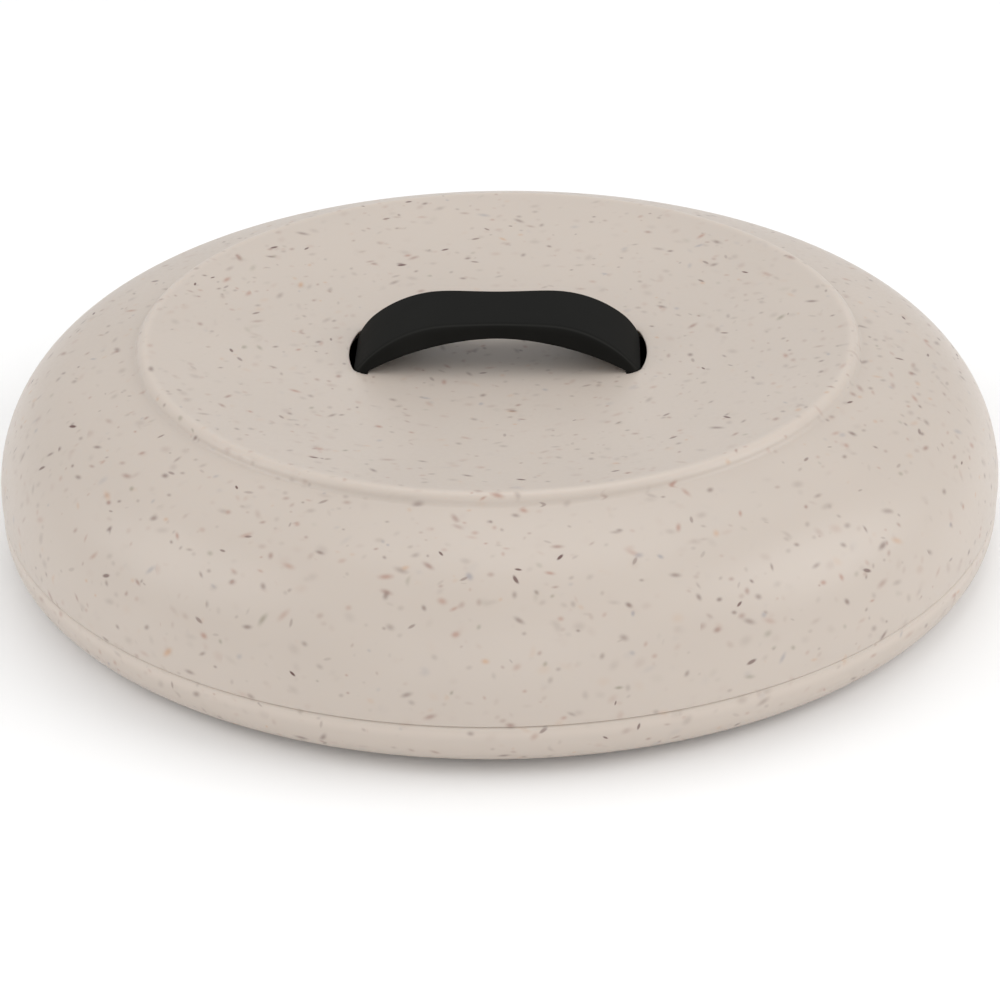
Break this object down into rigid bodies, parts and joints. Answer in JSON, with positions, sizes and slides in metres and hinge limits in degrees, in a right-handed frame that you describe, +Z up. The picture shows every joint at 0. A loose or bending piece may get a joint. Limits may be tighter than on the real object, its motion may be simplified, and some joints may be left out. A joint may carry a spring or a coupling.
{
  "type": "tortilla warmer",
  "caption": "Round covered tortilla warmer: shallow base tray, domed lift-off lid with a raised dished panel, and a strap handle snapped into slots in the lid.",
  "frame": {"origin": "centre of the foot ring's underside, on the table", "axes": "+Z up along the axis of the lid, X along the handle, -Y towards the side that the picture shows"},
  "size_m": [0.26, 0.26, 0.0598],
  "materials": {
    "speckled_plastic": "satin beige with fine dark, brown and grey flecks",
    "black_plastic": "matte black"
  },
  "bodies": {
    "base": {"base_tray": "speckled_plastic"},
    "lid": {"lid_shell": "speckled_plastic", "handle": "black_plastic"}
  },
  "joints": [
    {"name": "lid_lift", "type": "slide", "parent": "base", "child": "lid", "axis": [0, 0, 1], "range_m": [0, 0.06]}
  ]
}
